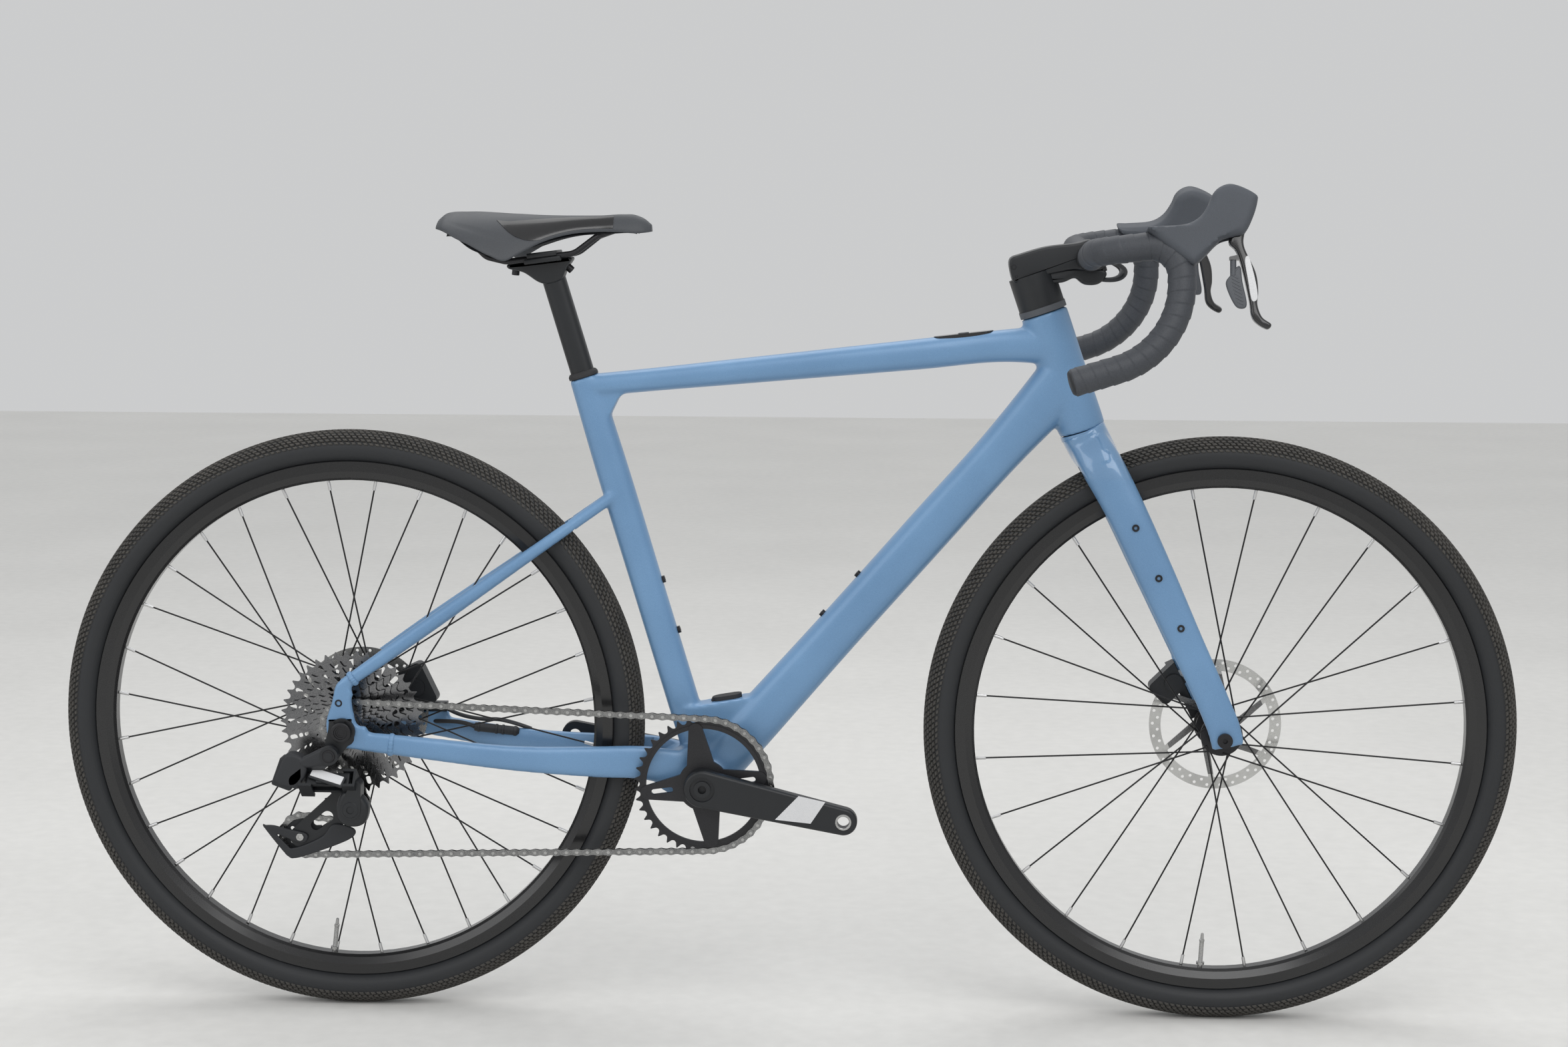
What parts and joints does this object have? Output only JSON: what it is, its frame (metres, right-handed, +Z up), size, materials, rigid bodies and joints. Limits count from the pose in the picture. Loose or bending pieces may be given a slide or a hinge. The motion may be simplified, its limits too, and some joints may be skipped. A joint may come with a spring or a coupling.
{
  "type": "electric gravel bike",
  "caption": "Drop-bar electric gravel bike with a diamond frame, hub motor, disc brakes, wide-range cassette, wireless derailleur and knobbly tyres.",
  "frame": {"origin": "on the ground, half way between the two axles, in the bike's middle plane", "axes": "+X forward to the front wheel, +Y to the rider's left, +Z up"},
  "size_m": [1.7584, 0.511, 1.0015],
  "materials": {
    "frame_paint": "satin blue paint",
    "black_paint": "satin black anodised or painted",
    "black_plastic": "moulded black",
    "grey_plastic": "dark glossy moulding",
    "rubber": "soft black",
    "tyre": "black tread",
    "tape": "wound grip tape",
    "saddle_cover": "smooth black cover",
    "steel": "bright steel",
    "dark_steel": "dark steel",
    "silver": "machined"
  },
  "bodies": {
    "frame": {"head_tube": "frame_paint", "top_tube": "frame_paint", "down_tube": "frame_paint", "seat_tube": "frame_paint", "bottom_bracket_shell": "frame_paint", "chain_stays": "frame_paint", "seat_stays": "frame_paint", "derailleur_hanger": "black_paint", "frame_bearings": "dark_steel", "battery_pack": "black_plastic", "top_tube_controller": "grey_plastic", "seatpost_collar": "rubber", "bottle_bolts": "dark_steel", "rear_brake_caliper": "black_paint", "motor_axle": "dark_steel", "chainstay_cables": "rubber", "derailleur_body": "black_paint", "chain": "steel"},
    "steering": {"fork": "frame_paint", "headset_spacers": "black_paint", "stem": "black_paint", "handlebar": "black_paint", "bar_tape": "tape", "brake_hoods": "rubber", "front_brake_caliper": "black_paint", "fork_fasteners": "dark_steel", "bar_hoses": "rubber"},
    "front_wheel": {"front_tyre": "tyre", "front_rim": "black_paint", "front_spokes": "steel", "front_hub": "black_paint", "front_rotor": "steel"},
    "rear_wheel": {"rear_tyre": "tyre", "rear_rim": "black_paint", "rear_spokes": "steel", "rear_hub": "black_paint", "rear_rotor": "steel"},
    "crankset": {"crank_arms": "black_paint", "chainring": "black_paint"},
    "seat": {"seatpost": "black_paint", "saddle_rails": "steel", "saddle_shell": "black_plastic", "saddle_pad": "saddle_cover"},
    "cassette_body": {"cassette": "steel"},
    "derailleur_outer_link_body": {"derailleur_outer_link": "silver"},
    "derailleur_inner_link_body": {"derailleur_inner_link": "black_paint"},
    "derailleur_p_knuckle_body": {"derailleur_p_knuckle": "black_paint"},
    "derailleur_cage_body": {"derailleur_cage": "black_paint"},
    "guide_pulley_body": {"guide_pulley": "black_plastic"},
    "tension_pulley_body": {"tension_pulley": "black_plastic"},
    "right_brake_lever_body": {"right_brake_lever": "black_paint"},
    "left_brake_lever_body": {"left_brake_lever": "black_paint"},
    "right_shift_paddle_body": {"right_shift_paddle": "black_plastic"},
    "left_shift_paddle_body": {"left_shift_paddle": "black_plastic"},
    "front_inner_pad_body": {"front_inner_pad": "dark_steel"},
    "front_outer_pad_body": {"front_outer_pad": "dark_steel"},
    "rear_inner_pad_body": {"rear_inner_pad": "dark_steel"},
    "rear_outer_pad_body": {"rear_outer_pad": "dark_steel"},
    "control_button_body": {"control_button": "grey_plastic"},
    "charge_port_cover_body": {"charge_port_cover": "rubber"}
  },
  "joints": [
    {"name": "steering", "type": "hinge", "parent": "frame", "child": "steering", "pos_m": [0.35429, 0, 0.71637], "axis": [-0.3256, 0, 0.9455], "range_deg": [-60, 60]},
    {"name": "front_wheel_spin", "type": "hinge", "parent": "steering", "child": "front_wheel", "pos_m": [0.5242, 0, 0.355], "axis": [0, 1, 0], "continuous": true},
    {"name": "rear_wheel_spin", "type": "hinge", "parent": "frame", "child": "rear_wheel", "pos_m": [-0.5242, 0, 0.355], "axis": [0, 1, 0], "continuous": true},
    {"name": "crank_spin", "type": "hinge", "parent": "frame", "child": "crankset", "pos_m": [-0.09403, 0, 0.289], "axis": [0, 1, 0], "continuous": true, "deforming": ["chain"]},
    {"name": "cassette_spin", "type": "hinge", "parent": "frame", "child": "cassette_body", "pos_m": [-0.5242, 0, 0.355], "axis": [0, 1, 0], "continuous": true, "deforming": ["chain"]},
    {"name": "derailleur_outer_swing", "type": "hinge", "parent": "frame", "child": "derailleur_outer_link_body", "pos_m": [-0.5642, -0.08775, 0.29782], "axis": [0, 0.6428, 0.766], "range_deg": [-15, 44], "deforming": ["chain"]},
    {"name": "derailleur_inner_swing", "type": "hinge", "parent": "frame", "child": "derailleur_inner_link_body", "pos_m": [-0.5642, -0.07626, 0.28818], "axis": [0, 0.6428, 0.766], "range_deg": [-15, 44], "deforming": ["chain"]},
    {"name": "derailleur_knuckle_swing", "type": "hinge", "parent": "derailleur_outer_link_body", "child": "derailleur_p_knuckle_body", "pos_m": [-0.5162, -0.08775, 0.29782], "axis": [0, 0.6428, 0.766], "range_deg": [-44, 15], "deforming": ["chain"]},
    {"name": "cage_swing", "type": "hinge", "parent": "derailleur_p_knuckle_body", "child": "derailleur_cage_body", "pos_m": [-0.5132, -0.063, 0.262], "axis": [0, 1, 0], "range_deg": [-45, 4], "stiffness_Nm_per_rad": 1, "deforming": ["chain"]},
    {"name": "guide_pulley_spin", "type": "hinge", "parent": "derailleur_cage_body", "child": "guide_pulley_body", "pos_m": [-0.5262, -0.049, 0.26183], "axis": [0, 1, 0], "continuous": true, "deforming": ["chain"]},
    {"name": "tension_pulley_spin", "type": "hinge", "parent": "derailleur_cage_body", "child": "tension_pulley_body", "pos_m": [-0.58162, -0.049, 0.22072], "axis": [0, 1, 0], "continuous": true, "deforming": ["chain"]},
    {"name": "right_brake_pull", "type": "hinge", "parent": "steering", "child": "right_brake_lever_body", "pos_m": [0.514, -0.19948, 0.9811], "axis": [0, 0.9781, -0.2079], "range_deg": [0, 15], "stiffness_Nm_per_rad": 3, "springref_deg": -5.73},
    {"name": "left_brake_pull", "type": "hinge", "parent": "steering", "child": "left_brake_lever_body", "pos_m": [0.514, 0.19948, 0.9811], "axis": [0, 0.9781, 0.2079], "range_deg": [0, 15], "stiffness_Nm_per_rad": 3, "springref_deg": -5.73},
    {"name": "right_shift_push", "type": "hinge", "parent": "right_brake_lever_body", "child": "right_shift_paddle_body", "pos_m": [0.502, -0.21382, 0.91361], "axis": [0, 0.2079, 0.9781], "range_deg": [0, 10], "stiffness_Nm_per_rad": 0.5, "springref_deg": -2.86},
    {"name": "left_shift_push", "type": "hinge", "parent": "left_brake_lever_body", "child": "left_shift_paddle_body", "pos_m": [0.502, 0.21382, 0.91361], "axis": [0, 0.2079, -0.9781], "range_deg": [0, 10], "stiffness_Nm_per_rad": 0.5, "springref_deg": -2.86},
    {"name": "front_inner_pad_slide", "type": "slide", "parent": "steering", "child": "front_inner_pad_body", "axis": [0, 1, 0], "range_m": [0, 0.00028]},
    {"name": "front_outer_pad_slide", "type": "slide", "parent": "steering", "child": "front_outer_pad_body", "axis": [0, -1, 0], "range_m": [0, 0.00028]},
    {"name": "rear_inner_pad_slide", "type": "slide", "parent": "frame", "child": "rear_inner_pad_body", "axis": [0, 1, 0], "range_m": [0, 0.00028]},
    {"name": "rear_outer_pad_slide", "type": "slide", "parent": "frame", "child": "rear_outer_pad_body", "axis": [0, -1, 0], "range_m": [0, 0.00028]},
    {"name": "seatpost_slide", "type": "slide", "parent": "frame", "child": "seat", "axis": [-0.2907, 0, 0.9568], "range_m": [-0.09, 0.04]},
    {"name": "control_button_press", "type": "slide", "parent": "frame", "child": "control_button_body", "axis": [0.1149, 0, -0.9934], "range_m": [0, 0.001], "stiffness_N_per_m": 1500, "springref_m": -0.001},
    {"name": "charge_cover_open", "type": "hinge", "parent": "frame", "child": "charge_port_cover_body", "pos_m": [-0.08659, 0, 0.38469], "axis": [0, -1, 0], "range_deg": [0, 80]}
  ],
  "couplings": [
    {"joint": "cassette_spin", "follows": "crank_spin", "ratio": 2.6667},
    {"joint": "tension_pulley_spin", "follows": "crank_spin", "ratio": 3.3333},
    {"joint": "guide_pulley_spin", "follows": "crank_spin", "ratio": -3.3333},
    {"joint": "derailleur_inner_swing", "follows": "derailleur_outer_swing", "ratio": 1},
    {"joint": "derailleur_knuckle_swing", "follows": "derailleur_outer_swing", "ratio": -1},
    {"joint": "front_inner_pad_slide", "follows": "left_brake_pull", "m_per_rad": 0.001},
    {"joint": "front_outer_pad_slide", "follows": "left_brake_pull", "m_per_rad": 0.001},
    {"joint": "rear_inner_pad_slide", "follows": "right_brake_pull", "m_per_rad": 0.001},
    {"joint": "rear_outer_pad_slide", "follows": "right_brake_pull", "m_per_rad": 0.001}
  ]
}
